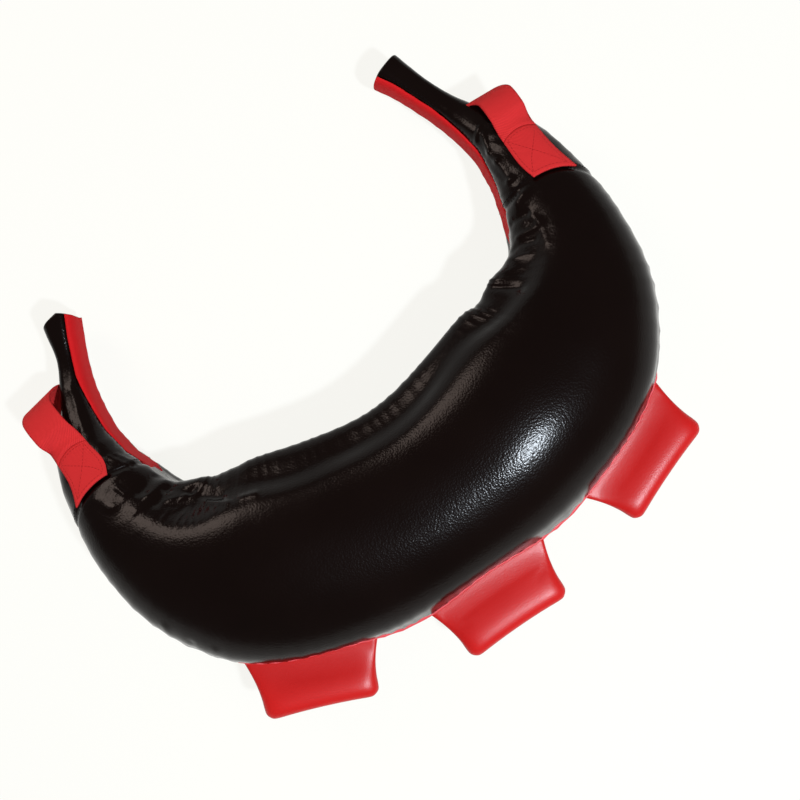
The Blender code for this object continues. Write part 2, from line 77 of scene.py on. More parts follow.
# The crescent's middle line: share of the way to a tip, then shares of shoulder_length and horn_rise
right_line_shares = (
    (0.164, 0.287, 0.027),
    (0.352, 0.596, 0.132),
    (0.440, 0.712, 0.222),
    (0.548, 0.794, 0.364),
    (0.632, 0.818, 0.496),
    (0.695, 0.822, 0.594),
    (0.745, 0.810, 0.670),
    (0.800, 0.774, 0.748),
    (0.860, 0.733, 0.832),
    (0.920, 0.692, 0.918),
    (1.000, 0.645, 1.024),
)
left_line_shares = (
    (0.164, 0.287, 0.027),
    (0.352, 0.596, 0.132),
    (0.440, 0.708, 0.220),
    (0.548, 0.786, 0.354),
    (0.632, 0.808, 0.478),
    (0.695, 0.814, 0.558),
    (0.745, 0.804, 0.626),
    (0.800, 0.775, 0.698),
    (0.860, 0.743, 0.780),
    (0.920, 0.710, 0.858),
    (1.000, 0.666, 0.956),
)
swell_place_shares = (0.0, 0.164, 0.300, 0.352, 0.440, 0.548, 0.632, 0.695, 0.745, 0.800, 0.860, 0.920, 1.0)
width_swell_shares = (0.956, 1.0, 0.985, 0.925, 0.735, 0.505, 0.370, 0.275, 0.205, 0.085, 0.015, 0.0, 0.028)
thickness_swell_shares = (1.0, 1.0, 1.0, 0.985, 0.900, 0.730, 0.560, 0.430, 0.310, 0.160, 0.040, 0.0, 0.030)

# Rings of the leather turned in over a tip: share of the tip's size, and how far it stands out
tip_turn_in = ((0.96, 0.0010), (0.90, 0.0008), (0.70, 0.0003), (0.60, 0.0002), (0.30, 0.0001))
tip_reach = 0.06

# About how many metres one whole share of place is, by the necks
metres_per_place = 0.55

# Thread stitches: length, gap and thickness
leather_stitch = (0.0036, 0.0012, 0.0009)
webbing_stitch = (0.0030, 0.0008, 0.0007)

# The webbing loops
webbing_width = 0.038
webbing_thickness = 0.0024
webbing_clearance = 0.0004
strap_clearance = 0.0008
loop_reach = 0.050
loop_swing_radius = 0.036
loop_place_shares = {"left": 0.688, "right": 0.683}
loop_offset_shares = {"left": -0.03, "right": 0.11}
sewn_end_degrees = {"left": -19.0, "right": -12.5}
loop_swing_degrees = {"left": 30.0, "right": 17.0}
loop_veers = {"left": 0.022, "right": 0.046}
strap_bend_before = 0.004
strap_bend_after = 0.024
loop_reach_scales = {"left": 1.27, "right": 1.08}

# How much smaller than its solid the horn's filling is drawn, all round
horn_filling_slack = 0.0035

# The finger grips
grip_root_width = 0.146
grip_outer_width = 0.112
grip_depths = {"left": 0.047, "middle": 0.055, "right": 0.050}
grip_stretches = {"left": 0.0, "middle": 0.0035, "right": 0.0005}
grip_place_shares = {"left": -0.270, "middle": 0.0, "right": 0.270}
grip_fold_offset = 0.0045
grip_roll_radius = 0.0125
grip_waist = 0.0026
grip_ear = 0.0022
grip_corner_width_cut = 0.0042
grip_corner_depth_cut = 0.0030
grip_root_tuck = 0.0015
grip_web_half = 0.0023
grip_held_depth = 0.014
grip_pressure = 4.0
grip_most_growth = 0.0045
cloth_steps = 20

# The leather's seams, rolls and furrows: height, distance from their own seam, and spread
outer_seam_dent = (-0.0022, 0.0, 0.0032)
strip_seam_dent = (-0.0012, 0.0, 0.0030)
neck_seam_dent = (-0.0018, 0.0, 0.0035)
inner_roll_spread = (1.0, 0.012, 0.016)
inner_furrow = (-0.0050, 0.042, 0.016)
hem_roll = (0.0016, 0.011, 0.008)
hem_furrow = (-0.0022, 0.036, 0.016)
grip_pull_spread = (1.0, 0.0, 0.035)

# Forms at one place of the bag: height, place along it, and spread along it
grip_pulls = (
    (0.0070, 0.255, 0.090),
    (0.0078, 0.004, 0.092),
    (0.0092, -0.245, 0.095),
)
belly_dome = (0.0050, 0.18, 0.11)
left_waist = (-0.0024, -0.925, 0.045)

# Folds and dents in the leather: place and turn of both ends, height and half width in millimetres
folds = (
    (0.796, 1.74, 0.790, 2.12, 1.5, 2.4),
    (0.784, 1.87, 0.757, 2.15, 1.7, 3.0),
    (0.757, 2.15, 0.727, 2.15, 1.7, 3.2),
    (0.727, 2.15, 0.682, 2.15, 1.4, 3.6),
    (0.676, 2.12, 0.676, 2.18, 1.3, 3.6),
    (0.640, 2.08, 0.632, 2.22, 2.6, 7.0),
    (0.606, 2.50, 0.606, 2.15, -1.8, 3.6),
    (0.574, 2.45, 0.575, 2.13, 1.3, 2.8),
    (0.552, 2.50, 0.552, 2.20, -1.5, 4.0),
    (0.600, 2.10, 0.582, 2.03, 1.1, 4.0),
    (0.582, 2.03, 0.539, 2.03, 1.0, 4.5),
    (0.530, 2.60, 0.522, 2.30, 1.0, 3.5),
    (0.445, 2.62, 0.452, 2.40, 0.8, 6.0),
    (0.419, 2.66, 0.426, 2.39, -1.3, 5.0),
    (-0.640, 1.46, -0.632, 1.54, 1.0, 6.0),
    (-0.614, 1.57, -0.608, 1.64, 1.4, 5.0),
    (-0.631, 1.88, -0.612, 1.91, 1.5, 2.6),
    (-0.605, 2.50, -0.598, 2.10, -2.4, 5.0),
    (-0.581, 2.54, -0.580, 2.15, 1.8, 4.0),
    (-0.580, 2.15, -0.576, 1.88, 1.1, 4.6),
    (-0.556, 2.50, -0.553, 2.15, -1.4, 4.0),
    (-0.566, 2.42, -0.495, 2.54, -1.8, 4.2),
    (-0.495, 2.54, -0.385, 2.51, -2.6, 4.6),
    (-0.535, 2.30, -0.527, 2.34, 1.6, 3.4),
    (-0.511, 2.40, -0.504, 2.44, 1.8, 3.4),
    (-0.485, 2.50, -0.474, 2.53, 1.5, 3.2),
    (-0.422, 2.43, -0.362, 2.38, 1.5, 2.6),
    (-0.329, 2.42, -0.289, 2.43, 1.6, 3.2),
    (-0.705, 2.09, -0.644, 2.31, 0.9, 2.0),
    (-0.700, 2.26, -0.645, 2.45, 0.9, 2.2),
    (-0.420, 0.20, -0.440, 0.75, 0.9, 4.5),
    (-0.400, 0.20, -0.405, 0.65, -1.0, 3.6),
    (-0.380, 0.20, -0.375, 0.65, 0.9, 4.0),
    (-0.500, 0.15, -0.520, 0.55, -1.2, 5.0),
    (-0.860, 1.60, -0.780, 1.75, 0.9, 3.0),
    (0.930, 1.45, 0.860, 1.70, 0.8, 3.0),
)

# Where along the bag the neck seam and a spot's nearest place are searched for, and in how many halvings
neck_search = (0.56, 0.80)
horn_search = (0.3, 0.985)
search_steps = 30

SIDES = {"left": -1, "right": 1}


def smooth_curve(places, values):
    """A smooth curve through the values given at the places, for whole arrays at once."""
    places = np.array(places)
    values = np.array(values)
    slopes = np.gradient(values, places)

    def value_at(place):
        place = np.clip(place, places[0], places[-1])
        after = np.clip(np.searchsorted(places, place, side="right"), 1, len(places) - 1)
        before = after - 1
        span = places[after] - places[before]
        share = (place - places[before]) / span
        square = share * share
        cube = square * share
        start = (2 * cube - 3 * square + 1) * values[before]
        start_slope = (cube - 2 * square + share) * span * slopes[before]
        end = (3 * square - 2 * cube) * values[after]
        end_slope = (cube - square) * span * slopes[after]
        return start + start_slope + end + end_slope

    return value_at


def hump(value, centre, spread):
    """A soft hump of height 1 about a centre."""
    return np.exp(-(((value - centre) / spread) ** 2))


def form(distance, sizes):
    """A soft ridge or, with a negative height, a furrow: sizes are its height, centre and spread."""
    height, centre, spread = sizes
    return height * hump(distance, centre, spread)


def ramp(value, start, length):
    """Rises evenly from 0 to 1 over a length."""
    return np.clip((value - start) / length, 0.0, 1.0)


def ease(share):
    """The same share, with a soft start and end."""
    return share * share * (3 - 2 * share)


def both_ways(left, right, middle, mirror):
    return [mirror * value for value in reversed(left)] + [middle] + list(right)


def line_values(index, mirror):
    """One column of the middle line's tables, from the left tip to the right one."""
    left = [row[index] for row in left_line_shares]
    right = [row[index] for row in right_line_shares]
    return both_ways(left, right, 0.0, mirror)


def swell_curve(shares):
    places = swell_place_shares[1:]
    return smooth_curve(both_ways(places, places, 0.0, -1), both_ways(shares[1:], shares[1:], shares[0], 1))


line_x = smooth_curve(line_values(0, -1), line_values(1, -1))
line_y = smooth_curve(line_values(0, -1), line_values(2, 1))
width_swell = swell_curve(width_swell_shares)
thickness_swell = swell_curve(thickness_swell_shares)


def half_width(place):
    return (handle_width + (belly_width - handle_width) * width_swell(place)) / 2


def half_thickness(place):
    return (handle_thickness + (belly_thickness - handle_thickness) * thickness_swell(place)) / 2


def swell(place):
    return np.clip(thickness_swell(place), 0.0, 1.0)


def squareness(place):
    return handle_squareness_power + (belly_squareness_power - handle_squareness_power) * swell(place)


def rest_height(place):
    return half_thickness(place) - floor_settle + horn_lift * (1 - swell(place)) ** horn_lift_power


def middle_line(place):
    """Plan positions of the crescent's middle line, as an array of x, y, 0."""
    place = np.asarray(place, float)
    across = side_shift + shoulder_length * line_x(place)
    forward = forward_shift + horn_rise * line_y(place)
    return np.stack([across, forward, np.zeros_like(across)], axis=-1)


def heading(place):
    edge_share = 0.99
    step_share = 0.004
    place = np.clip(np.asarray(place, float), -edge_share, edge_share)
    way = middle_line(place + step_share) - middle_line(place - step_share)
    return way / np.linalg.norm(way, axis=-1, keepdims=True)


def outward(place):
    along = heading(place)
    return np.stack([along[..., 1], -along[..., 0], np.zeros_like(along[..., 0])], axis=-1)


def skin(place, turn, lift=0.0):
    """Points of the bag's skin at places along it and turns round it, lifted off it by some height."""
    place = np.asarray(place, float)
    turn = np.asarray(turn, float)
    across_size = half_width(place) + lift
    up_size = half_thickness(place) + lift
    power = squareness(place)
    across = np.abs(np.cos(turn) / across_size) ** power
    up = np.abs(np.sin(turn) / up_size) ** power
    reach = (across + up) ** (-1 / power)
    across = reach * np.cos(turn)
    up = reach * np.sin(turn)
    inner_share = np.minimum(across / across_size, 0.0)
    across = across + strip_pinch * swell(place) * inner_share**2 * hump(up, 0.0, strip_width)
    points = middle_line(place) + outward(place) * across[..., None]
    points[..., 2] = np.maximum(rest_height(place) + up, np.clip(-lift, 0.0, floor_relief))
    return points


def strip_turn(place, gap=0.0):
    """Where the red strip ends, measured from the middle of the inner side."""
    across_size = half_width(place)
    up_size = half_thickness(place)
    power = squareness(place)
    edge_share = np.minimum((strip_width / 2 - gap) / up_size, strip_height_limit_share)
    across = across_size * (1 - edge_share**power) ** (1 / power)
    left_widening = 0.13
    widening = 1 + left_widening * ramp(-place, 0.76, 0.12)
    return np.arctan2(edge_share * up_size, across) * widening


def neck_hinge(side):
    return middle_line(SIDES[side] * neck_share)


def neck_cut(turn, side, radius=neck_radius):
    """The place along the crescent where each line of the skin crosses the neck's round seam."""
    near = np.full_like(turn, neck_search[0])
    far = np.full_like(turn, neck_search[1])
    centre = neck_hinge(side)
    for _ in range(search_steps):
        middle = (near + far) / 2
        point = skin(SIDES[side] * middle, turn)
        inside = np.hypot(point[..., 0] - centre[0], point[..., 1] - centre[1]) < radius
        near = np.where(inside, middle, near)
        far = np.where(inside, far, middle)
    return near


# Wrinkles


def ripple(places, wave, seed):
    """An uneven ripple along a line: its wavelength wanders, and so does its strength."""
    drift_pace = 0.35
    drift_phase = 5.5
    gain_pace = 0.22
    mean_gain = 0.55
    gain_swing = 1.1
    most_gain = 1.3
    places = np.asarray(places, float)
    samples = np.linspace(places.min(), places.max(), 900)
    drift = np.array([noise.noise(Vector((value / wave * drift_pace, seed, 0.0))) for value in samples])
    gain = np.array([noise.noise(Vector((value / wave * gain_pace, seed + 7.0, 3.0))) for value in samples])
    phase = 2 * math.pi * places / wave + drift_phase * np.interp(places, samples, drift)
    strength = np.clip(mean_gain + gain_swing * np.interp(places, samples, gain), 0.0, most_gain)
    return (1 - np.abs(np.sin(phase / 2)) * 2) * strength


def along_length(place):
    """Rough distance along the crescent from its middle, in metres."""
    samples = np.linspace(-1.0, 1.0, 401)
    points = middle_line(samples)
    steps = np.linalg.norm(np.diff(points, axis=0), axis=1)
    lengths = np.concatenate([[0.0], np.cumsum(steps)])
    return np.interp(place, samples, lengths - np.interp(0.0, samples, lengths))


def wander_along(length, wave, seed):
    """A slow, smooth wander along the bag, between about -1 and 1."""
    noise_gain = 1.6
    samples = np.linspace(length.min(), length.max(), 500)
    drift = np.array([noise.noise(Vector((value / wave, seed, 1.7))) for value in samples])
    return np.interp(length, samples, drift) * noise_gain


def unevenness(length, around, seed, long_wave, wide_wave):
    """Smooth noise over the skin, drawn out by the two wavelengths."""
    spots = zip((length / long_wave).ravel(), (around / wide_wave).ravel())
    return np.array([noise.noise(Vector((run, over, seed))) for run, over in spots]).reshape(length.shape)


def crumple(length, around, seed, long_wave, wide_wave):
    """Soft ridges, drawn out along the bag, as leather that has been pulled over a filling shows."""
    ridge_share = 0.22
    mean_height = 0.4
    return hump(unevenness(length, around, seed, long_wave, wide_wave), 0.0, ridge_share) - mean_height


def fold_height(place, turn):
    """The single folds and dents listed above, each a soft ridge between its two ends."""
    millimetre = 0.001
    spots = skin(place, turn)
    height = np.zeros_like(length_of(spots))
    for start_place, start_turn, end_place, end_turn, rise, half in folds:
        start = skin(start_place, start_turn)
        span = skin(end_place, end_turn) - start
        share = np.clip((spots - start) @ span / (span @ span), 0.0, 1.0)
        away = length_of(spots - start - share[..., None] * span)
        height = height + millimetre * rise * hump(away, 0.0, millimetre * half)
    return height


def length_of(offsets):
    return np.linalg.norm(offsets, axis=-1)


def outer_press(place):
    """How far the belly's outer side is drawn in where the grips pull on it."""
    return sum(form(place, pull) for pull in grip_pulls)


def seam_pucker(along, outer, inner, body_part):
    """The small gathers that the thread pulls beside the outer seam and beside the strip."""
    thread_reach = 0.002
    gather_reach = 0.008 + 0.018 * body_part
    inner_gather_reach = gather_reach * 0.9
    at_outer = np.exp(-outer / gather_reach) * (1 - np.exp(-outer / thread_reach))
    at_inner = np.exp(-inner / inner_gather_reach) * (1 - np.exp(-inner / thread_reach))
    outer_height = 0.0004 + 0.0016 * body_part
    inner_height = 0.0002 + 0.0005 * body_part
    gathers = outer_height * ripple(along[0], 0.0135, 2.0) * at_outer
    return gathers + inner_height * ripple(along[1], 0.0170, 5.0) * at_inner


def inner_roll(place, inner, front, body_part):
    """The thick roll of the belly beside the strip, fuller by the necks and lower in one gap."""
    back_height = 0.0016
    front_height = 0.0058
    neck_height = 0.0105
    neck_spread = 0.058
    gap_place = 0.362
    gap_spread = 0.030
    gap_share = 0.6
    left_neck_place = 0.505
    right_neck_place = 0.475
    neck_place = np.where(place < 0, left_neck_place, right_neck_place)
    neck_part = neck_height * hump(np.abs(place), neck_place, neck_spread)
    gap = 1 - gap_share * hump(place, gap_place, gap_spread)
    size = back_height + front * (front_height + neck_part) * gap
    return size * form(inner, inner_roll_spread) * np.clip(body_part * 1.15, 0.0, 1.0) ** 1.5


def fine_creases(place, folded, inner, around, front):
    """Fine creases at the necks, on the horns and by the left neck's inner side."""
    length = along_length(place)
    neck_height = 0.0004
    horn_height = 0.0006
    pleat_height = 0.0007
    neck_place = 0.62
    pleat_place = -0.46
    pleat_depth = 0.055
    away = np.abs(place)
    neck_part = front * hump(away, neck_place, 0.10) * ramp(folded, 1.2, 0.8)
    horn_part = ramp(away, neck_place, 0.08) * (1 - np.clip((away - 0.9) / 0.1, 0.0, 0.8))
    creases = neck_height * crumple(length, around, 3.7, 0.016, 0.036) * neck_part
    creases = creases + horn_height * crumple(length, around, 8.3, 0.050, 0.018) * horn_part
    pleat_part = hump(inner, pleat_depth, 0.013) * hump(place, pleat_place, 0.15)
    return creases + pleat_height * crumple(length, around, 5.1, 0.010, 0.024) * pleat_part


def relief(place, turn):
    """How far the sewn and stuffed skin stands off the plain crescent."""
    front_blend_turn = 0.4
    back_pattern_shift = 0.4
    wander_height = 0.006
    wave_height = 0.0007
    mean_depth = 0.8
    depth_swing = 0.4
    folded = np.abs(turn)
    width = half_width(place)
    outer = folded * width
    inner = np.maximum((math.pi - folded - strip_turn(place)) * width, 0.0)
    length = along_length(place)
    around = folded * half_thickness(place) * np.sign(turn)
    body_part = swell(place)
    front = np.clip(turn / front_blend_turn, -1.0, 1.0) * 0.5 + 0.5
    back_shift = np.where(turn > 0, 0.0, back_pattern_shift)
    shifted = length + back_shift
    wander = wander_height * wander_along(shifted, 0.09, 11.0)
    depth = mean_depth + depth_swing * wander_along(shifted, 0.06, 14.0)
    seams = form(outer, outer_seam_dent) + form(inner, strip_seam_dent)
    pucker = seam_pucker((shifted, length + back_shift * 0.5), outer, inner, body_part)
    roll = inner_roll(place, inner, front, body_part)
    furrows = depth * (form(inner - wander, inner_furrow) + form(outer + wander, hem_furrow)) * body_part**2
    hem = form(outer, hem_roll) * body_part
    dome = form(place, belly_dome) * np.clip(np.sin(turn), 0.0, 1.0) ** 2
    waves = wave_height * unevenness(length, around, 6.4, 0.100, 0.080) * body_part
    press = -outer_press(place) * form(outer, grip_pull_spread)
    shape = press + form(place, left_waist) + seams + pucker + roll + furrows + hem + waves + dome
    return shape + fine_creases(place, folded, inner, around, front) + fold_height(place, turn)


# Meshes


def grid_mesh(columns, rows, spots_of, size=(1.0, 1.0), closed=False):
    """A grid laid over a surface. spots_of takes shares across and along and gives points."""
    mesh = bmesh.new()
    bmesh.ops.create_grid(mesh, x_segments=columns, y_segments=rows, size=0.5)
    shares = np.array([vertex.co[:2] for vertex in mesh.verts]) + 0.5
    weave = mesh.loops.layers.uv.new("weave")
    for face in mesh.faces:
        for loop in face.loops:
            share = shares[loop.vert.index]
            loop[weave].uv = (share[0] * size[0], share[1] * size[1])
    points = spots_of(shares[:, 0], shares[:, 1])
    for vertex, point in zip(mesh.verts, points):
        vertex.co = point
    if closed:
        bmesh.ops.remove_doubles(mesh, verts=mesh.verts[:], dist=0.00002)
    return mesh


def add_object(name, data):
    thing = bpy.data.objects.new(name, data)
    bpy.context.scene.collection.objects.link(thing)
    return thing


def hand_over(name, mesh, material, smooth=True):
    """Turns a finished mesh into a piece of the scene."""
    bmesh.ops.recalc_face_normals(mesh, faces=mesh.faces[:])
    if smooth and mesh.calc_volume(signed=True) < 0:
        bmesh.ops.reverse_faces(mesh, faces=mesh.faces[:])
    data = bpy.data.meshes.new(name)
    mesh.to_mesh(data)
    mesh.free()
    if smooth:
        data.shade_smooth()
    data.materials.append(material)
    return add_object(name, data)


def apply_modifier(piece, kind, **settings):
    """Changes the mesh itself by a modifier, which isn't left live."""
    modifier = piece.modifiers.new(kind.lower(), kind)
    for key, value in settings.items():
        setattr(modifier, key, value)
    graph = bpy.context.evaluated_depsgraph_get()
    data = bpy.data.meshes.new_from_object(piece.evaluated_get(graph))
    piece.modifiers.clear()
    piece.data = data


# Materials


def new_material(name):
    material = bpy.data.materials.new(name)
    material.use_nodes = True
    nodes = material.node_tree.nodes
    shader = nodes["Principled BSDF"]
    return material, nodes, material.node_tree.links, shader


def add_node(nodes, kind, **values):
    """A shader node with some of its inputs set. An underscore in a name stands for a space."""
    node = nodes.new("ShaderNode" + kind)
    for name, value in values.items():
        node.inputs[name.replace("_", " ")].default_value = value
    return node


def add_tone(nodes, links, pattern, dark, light, shader):
    """The shader's colour goes from dark to light with a pattern."""
    tone = nodes.new("ShaderNodeMix")
    tone.data_type = "RGBA"
    tone.inputs["A"].default_value = (*dark, 1.0)
    tone.inputs["B"].default_value = (*light, 1.0)
    links.new(pattern, tone.inputs["Factor"])
    links.new(tone.outputs["Result"], shader.inputs["Base Color"])


def add_bump(nodes, links, pattern, strength, height, shader):
    """The shader's surface stands up with a pattern."""
    bump = add_node(nodes, "Bump", Strength=strength, Distance=height)
    links.new(pattern, bump.inputs["Height"])
    links.new(bump.outputs["Normal"], shader.inputs["Normal"])
    return bump


def reckon(nodes, links, operation, *terms):
    """The outcome of a sum or product of numbers and of other nodes' outcomes."""
    node = nodes.new("ShaderNodeMath")
    node.operation = operation
    for entry, term in zip(node.inputs, terms):
        if isinstance(term, float):
            entry.default_value = term
        else:
            links.new(term, entry)
    return node.outputs[0]


def mix_shaders(nodes, links, share, first, second, output):
    """Shows the first shader where the share is 0, and the second where it is 1."""
    mix = nodes.new("ShaderNodeMixShader")
    links.new(share, mix.inputs["Fac"])
    links.new(first, mix.inputs[1])
    links.new(second, mix.inputs[2])
    links.new(mix.outputs["Shader"], nodes[output].inputs["Surface"])


def leather(name, colour, dark_colour, roughness, grain_scale, grain_height, shine):
    """Imitation leather: pebble grain, fine pores, uneven gloss and slightly uneven colour."""
    cloud_scale = 14.0
    pore_share = 0.35
    pores_per_pebble = 2.3
    pebble_smoothness = 0.55
    grain_strength = 0.55
    uneven_gloss = 0.04
    material, nodes, links, shader = new_material(name)
    where = nodes.new("ShaderNodeTexCoord")
    pebbles = nodes.new("ShaderNodeTexVoronoi")
    pebbles.inputs["Scale"].default_value = grain_scale
    pebbles.feature = "SMOOTH_F1"
    pebbles.inputs["Smoothness"].default_value = pebble_smoothness
    pores = add_node(nodes, "TexNoise", Scale=grain_scale * pores_per_pebble, Detail=3.0)
    clouds = add_node(nodes, "TexNoise", Scale=cloud_scale, Detail=4.0)
    for texture in (pebbles, pores, clouds):
        links.new(where.outputs["Object"], texture.inputs["Vector"])
    both = (pores.outputs["Fac"], pore_share, pebbles.outputs["Distance"])
    grain = reckon(nodes, links, "MULTIPLY_ADD", *both)
    add_bump(nodes, links, grain, grain_strength, grain_height, shader).invert = True
    add_tone(nodes, links, clouds.outputs["Fac"], dark_colour, colour, shader)
    gloss = add_node(nodes, "MapRange", To_Min=roughness - uneven_gloss, To_Max=roughness + uneven_gloss)
    shader.inputs["Specular IOR Level"].default_value = shine
    links.new(clouds.outputs["Fac"], gloss.inputs["Value"])
    links.new(gloss.outputs["Result"], shader.inputs["Roughness"])
    return material


def webbing_material():
    """Red polyester webbing: slanting ribs of yarn across the band, matte with a slight sheen."""
    rib_scale = 330.0
    cross_scale = 560.0
    cross_share = 0.5
    yarn_strength = 0.5
    yarn_height = 0.0004
    dark_red = (0.41, 0.013, 0.014)
    light_red = (0.59, 0.026, 0.027)
    material, nodes, links, shader = new_material("red_webbing_weave")
    where = nodes.new("ShaderNodeTexCoord")
    ribs = add_node(nodes, "TexWave", Scale=rib_scale, Distortion=0.4)
    ribs.wave_type = "BANDS"
    ribs.bands_direction = "DIAGONAL"
    cross = add_node(nodes, "TexWave", Scale=cross_scale)
    cross.wave_type = "BANDS"
    cross.bands_direction = "X"
    for texture in (ribs, cross):
        links.new(where.outputs["UV"], texture.inputs["Vector"])
    yarn = reckon(nodes, links, "MULTIPLY_ADD", cross.outputs["Fac"], cross_share, ribs.outputs["Fac"])
    add_bump(nodes, links, yarn, yarn_strength, yarn_height, shader)
    add_tone(nodes, links, yarn, dark_red, light_red, shader)
    shader.inputs["Roughness"].default_value = 0.85
    shader.inputs["Specular IOR Level"].default_value = 0.12
    return material


def plain_cloth(name, colour):
    """Wool, sackcloth, foam or thread."""
    dark_share = 0.7
    fluff_height = 0.0006
    material, nodes, links, shader = new_material(name)
    where = nodes.new("ShaderNodeTexCoord")
    fluff = add_node(nodes, "TexNoise", Scale=260.0, Detail=5.0)
    links.new(where.outputs["Object"], fluff.inputs["Vector"])
    add_tone(nodes, links, fluff.outputs["Fac"], [value * dark_share for value in colour], colour, shader)
    add_bump(nodes, links, fluff.outputs["Fac"], 1.0, fluff_height, shader)
    shader.inputs["Roughness"].default_value = 0.95
    shader.inputs["Specular IOR Level"].default_value = 0.08
    return material


black_leather = leather(
    "black_leather_gloss",
    colour=(0.0040, 0.0014, 0.0010),
    dark_colour=(0.002, 0.0005, 0.0003),
    roughness=0.19,
    grain_scale=520.0,
    grain_height=0.00023,
    shine=0.11,
)
red_leather = leather(
    "red_leather_satin",
    colour=(0.52, 0.009, 0.008),
    dark_colour=(0.42, 0.004, 0.004),
    roughness=0.36,
    grain_scale=900.0,
    grain_height=0.00016,
    shine=0.28,
)
strip_leather = leather(
    "red_strip_leather",
    colour=(0.54, 0.012, 0.014),
    dark_colour=(0.45, 0.008, 0.010),
    roughness=0.65,
    grain_scale=900.0,
    grain_height=0.00020,
    shine=0.04,
)
# The bead's pinkish red, lighter than the red leather, is a painted highlight along the turned edge; its
# shine is real.
bead_leather_painted_highlight = leather(
    "red_bead_leather",
    colour=(0.72, 0.08, 0.09),
    dark_colour=(0.60, 0.05, 0.06),
    roughness=0.40,
    grain_scale=1100.0,
    grain_height=0.0002,
    shine=0.4,
)
black_thread = plain_cloth("black_thread", (0.006, 0.004, 0.004))
red_thread = plain_cloth("red_thread", (0.30, 0.010, 0.011))
webbing = webbing_material()
wool = plain_cloth("stuffing_wool_fluff", (0.62, 0.58, 0.50))
sackcloth = plain_cloth("sand_sack_cloth", (0.42, 0.34, 0.24))
foam = plain_cloth("grip_foam_cells", (0.10, 0.10, 0.11))


# The belly


def ring_turns(columns):
    """The turns of a closed ring of points round the bag, from the outer seam over the front."""
    ring = np.linspace(0.0, 2 * math.pi, columns + 1)
    return np.where(ring > math.pi, ring - 2 * math.pi, ring)


def belly_grid(columns):
    """For shares across and along a grid: the turn, the place, and the place of the neck seam there."""
    turns = ring_turns(columns)
    cuts = {side: neck_cut(turns, side) for side in SIDES}

    def spot_at(across, along):
        index = np.round(across * columns).astype(int)
        way = along * 2 - 1
        cut = np.where(way < 0, cuts["left"][index], cuts["right"][index])
        return turns[index], way * cut, cut

    return spot_at


def belly_skin():
    """The sewn black cover, wrapped once round the crescent from neck seam to neck seam."""
    columns = 208
    rows = 400
    spot_at = belly_grid(columns)

    def spots(across, along):
        turn, place, cut = spot_at(across, along)
        to_seam = (cut - np.abs(place)) * metres_per_place
        return skin(place, turn, relief(place, turn) + form(to_seam, neck_seam_dent))

    mesh = grid_mesh(columns, rows, spots, closed=True)
    piece = hand_over("belly_skin", mesh, black_leather)
    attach(piece, "bag")
    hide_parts("front_cover", "back_cover")


def wadding():
    """The wadding under the cover, which takes the cover's rolls and furrows."""
    columns = 104
    rows = 160
    depth = 0.0045
    length_share = 0.985
    spot_at = belly_grid(columns)

    def spots(across, along):
        turn, place, _ = spot_at(across, along)
        place = length_share * place
        return skin(place, turn, relief(place, turn) - depth)

    mesh = grid_mesh(columns, rows, spots, closed=True)
    piece = hand_over("wadding_fleece", mesh, wool)
    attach(piece, "bag")
    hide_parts("wadding_sleeve", "neck_wool_left", "neck_wool_right")


def tip_cut(place, turn, side):
    """How far the tip's end leans: a push along the horn, by how far out a point lies."""
    near_tip = ramp(place, 0.93, 0.07) ** 2
    across = np.cos(turn)
    if side == "right":
        lean = 0.002
        return near_tip * lean * (1 - across)
    ridge_height = 0.0095
    outer_fall = 0.0150
    inner_fall = 0.0055
    ridge_shift = 0.1
    outer_part = np.clip(across + ridge_shift, 0.0, 1.0)
    inner_part = np.clip(-across - ridge_shift, 0.0, 1.0)
    return near_tip * (ridge_height - outer_fall * outer_part - inner_fall * inner_part)


def tip_flare(place, turn, side):
    """How far the tip's inner side spreads."""
    spread = 0.0035 if side == "right" else 0.0
    return ramp(place, 0.95, 0.05) ** 2 * np.clip(-np.cos(turn), 0.0, 1.0) * spread


def shape_tip(points, place, turn, side):
    sign = SIDES[side]
    push = tip_cut(place, turn, side)
    spread = tip_flare(place, turn, side)
    return points + heading(sign * place) * sign * push[:, None] - outward(sign * place) * spread[:, None]


def horn_skin(side):
    """The black cover of a horn, from the neck seam to the flat tip."""
    columns = 152
    rows = 210
    turns = ring_turns(columns)
    cuts = neck_cut(turns, side)

    def spots(across, along):
        index = np.round(across * columns).astype(int)
        turn = turns[index]
        cut = cuts[index]
        place = cut + (1.0 - cut) * along
        to_seam = (place - cut) * metres_per_place
        lift = relief(SIDES[side] * place, turn) + form(to_seam, neck_seam_dent)
        return shape_tip(skin(SIDES[side] * place, turn, lift), place, turn, side)

    mesh = grid_mesh(columns, rows, spots, closed=True)
    close_tip(mesh, side)
    piece = hand_over("horn_skin_" + side, mesh, black_leather)
    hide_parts("horn_front_" + side, "horn_back_" + side, "horn_cap_" + side)
    bend_horn(piece, side)


def close_tip(mesh, side):
    """Turns the leather in over the tip's flat end."""
    sign = SIDES[side]
    tip = Vector(middle_line(sign * 1.0))
    way = Vector(heading(sign * 1.0)) * sign
    tip.z = float(rest_height(sign * 1.0))
    tip += way * float(tip_cut(np.array(1.0), np.array(math.pi / 2), side))
    ends = [edge for edge in mesh.edges if edge.is_boundary and (edge.verts[0].co - tip).length < tip_reach]
    for keep, push in tip_turn_in:
        grown = bmesh.ops.extrude_edge_only(mesh, edges=ends)["geom"]
        corners = [item for item in grown if isinstance(item, bmesh.types.BMVert)]
        ends = [item for item in grown if isinstance(item, bmesh.types.BMEdge)]
        for corner in corners:
            corner.co = tip + (corner.co - tip) * keep + way * push
    bmesh.ops.contextual_create(mesh, geom=ends)


